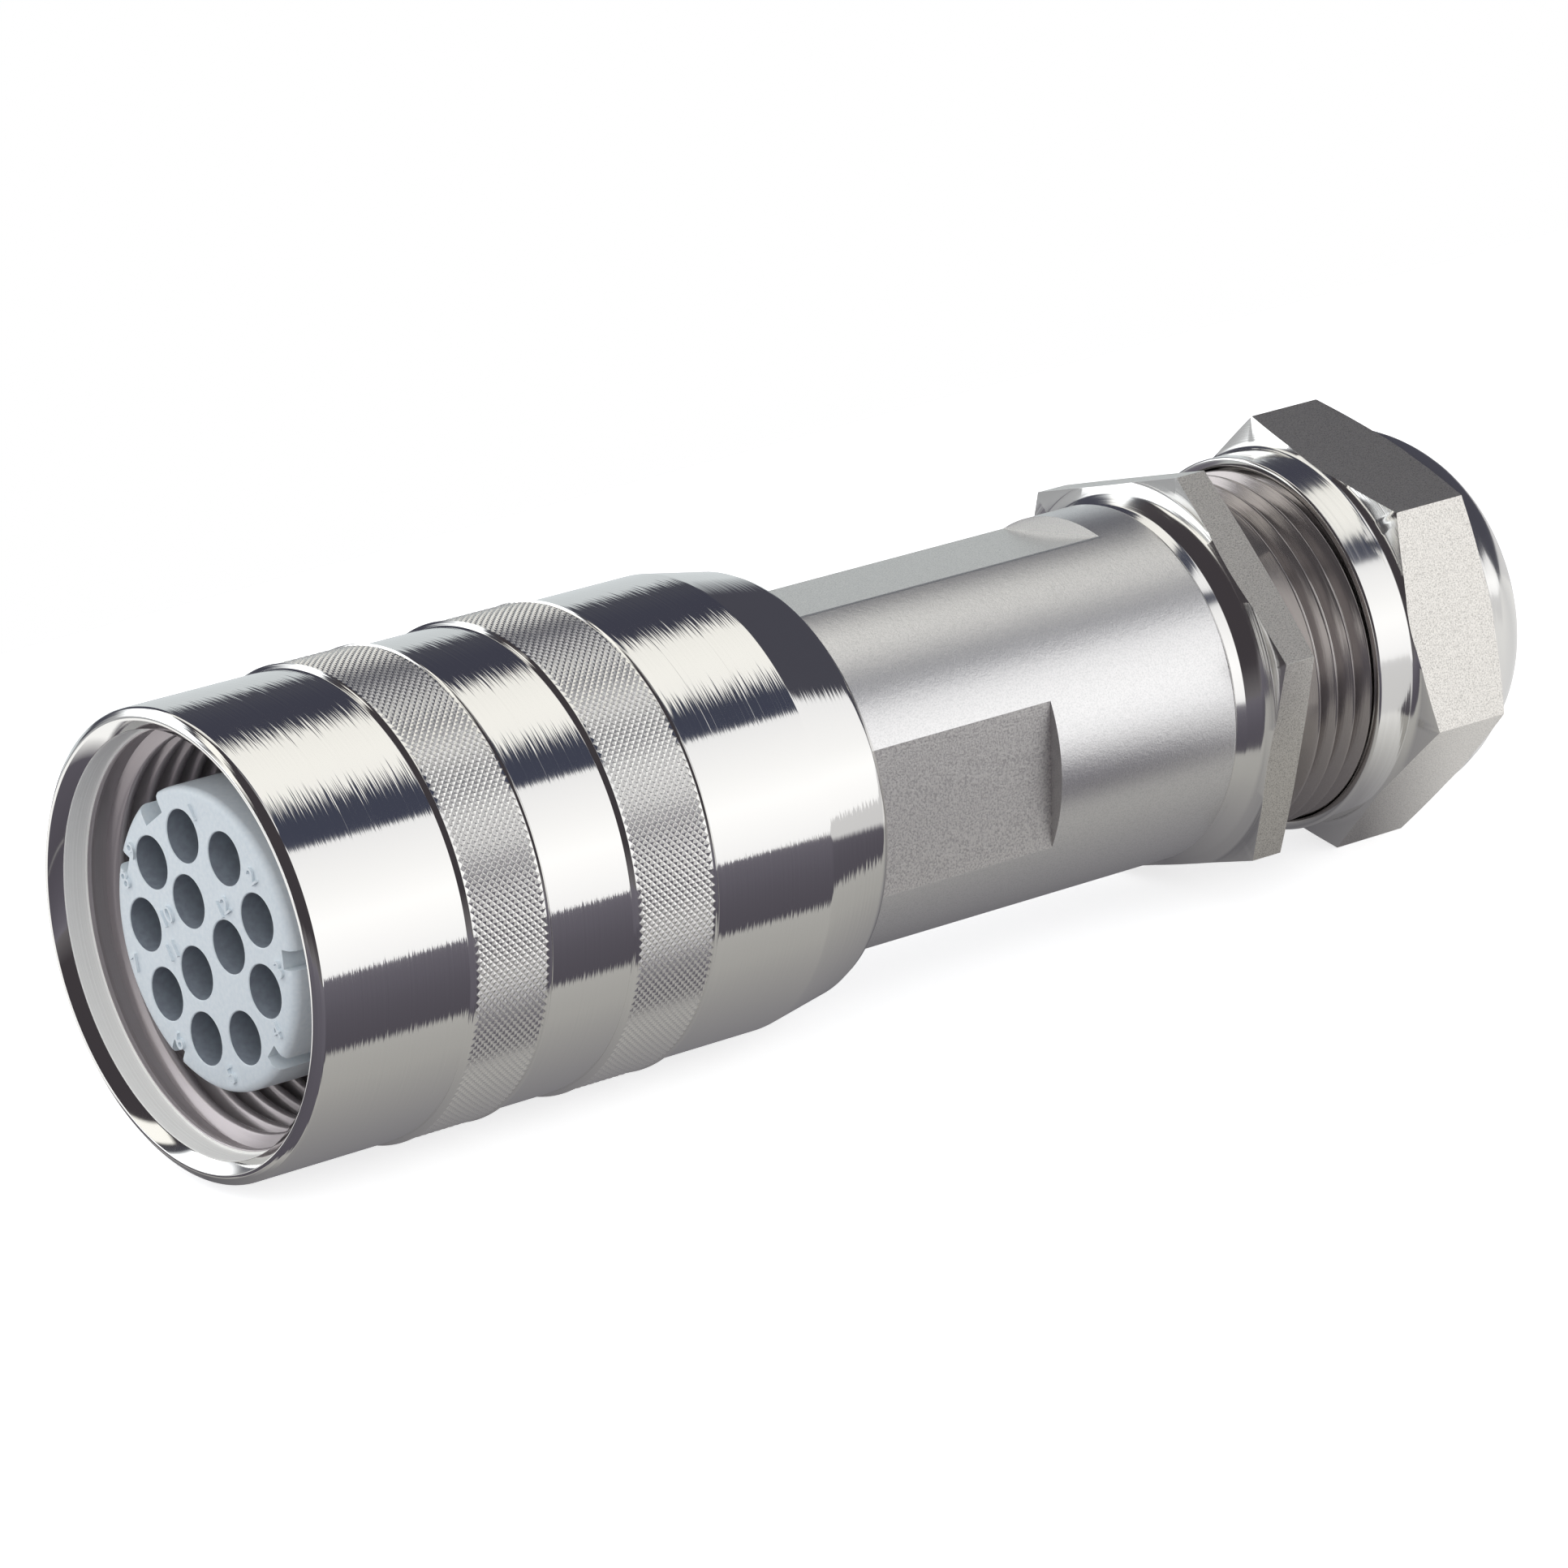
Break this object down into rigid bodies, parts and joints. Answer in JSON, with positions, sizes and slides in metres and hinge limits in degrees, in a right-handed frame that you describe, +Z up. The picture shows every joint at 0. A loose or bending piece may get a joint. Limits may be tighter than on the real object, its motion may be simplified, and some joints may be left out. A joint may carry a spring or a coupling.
{
  "type": "coupling socket",
  "caption": "Round cable-mounted socket connector with a knurled screw coupling ring, keyed contact insert, long barrel and a cable gland with a domed hex nut.",
  "frame": {"origin": "on the axis, half a millimetre behind the mating rim of the coupling ring", "axes": "+X along the axis from the mating rim to the cable outlet, +Z up as it lies on a surface"},
  "size_m": [0.0946, 0.0286, 0.0286],
  "materials": {
    "polished_nickel": "bright nickel plate over brass, fine turning marks, knurled bands",
    "satin_nickel": "satin nickel, finely blasted",
    "plated_brass": "nickel-plated brass, lightly pitted hexagon faces",
    "spring_steel": "spring steel",
    "contact_brass": "gold-plated brass",
    "insulator": "light blue-grey moulded plastic",
    "cage_plastic": "dark grey moulded plastic",
    "black_rubber": "black nitrile rubber"
  },
  "bodies": {
    "housing": {"front_shell": "polished_nickel", "retaining_clip": "spring_steel", "face_seal": "black_rubber", "insert_front": "insulator", "insert_rear": "insulator", "shell_o_ring": "black_rubber", "spacer_sleeve": "insulator", "barrel": "satin_nickel", "gland_o_ring": "black_rubber", "gland_body": "plated_brass", "clamping_cage": "cage_plastic", "gland_seal": "black_rubber", "socket_contact_01": "contact_brass", "socket_contact_02": "contact_brass", "socket_contact_03": "contact_brass", "socket_contact_04": "contact_brass", "socket_contact_05": "contact_brass", "socket_contact_06": "contact_brass", "socket_contact_07": "contact_brass", "socket_contact_08": "contact_brass", "socket_contact_09": "contact_brass", "socket_contact_10": "contact_brass", "socket_contact_11": "contact_brass", "socket_contact_12": "contact_brass"},
    "coupling_ring": {"coupling_ring": "polished_nickel"},
    "thrust_washer": {"thrust_washer": "plated_brass"},
    "dome_nut": {"dome_nut": "plated_brass"}
  },
  "joints": [
    {"name": "ring_spin", "type": "hinge", "parent": "housing", "child": "coupling_ring", "pos_m": [0.0165, 0, 0], "axis": [1, 0, 0], "continuous": true},
    {"name": "nut_advance", "type": "slide", "parent": "housing", "child": "thrust_washer", "axis": [1, 0, 0], "range_m": [-0.00141, 0.00423]},
    {"name": "nut_turn", "type": "hinge", "parent": "thrust_washer", "child": "dome_nut", "pos_m": [0.0862, 0, 0], "axis": [1, 0, 0], "range_deg": [-360, 1080]}
  ],
  "couplings": [
    {"joint": "nut_advance", "follows": "nut_turn", "m_per_rad": 0.00022441}
  ]
}
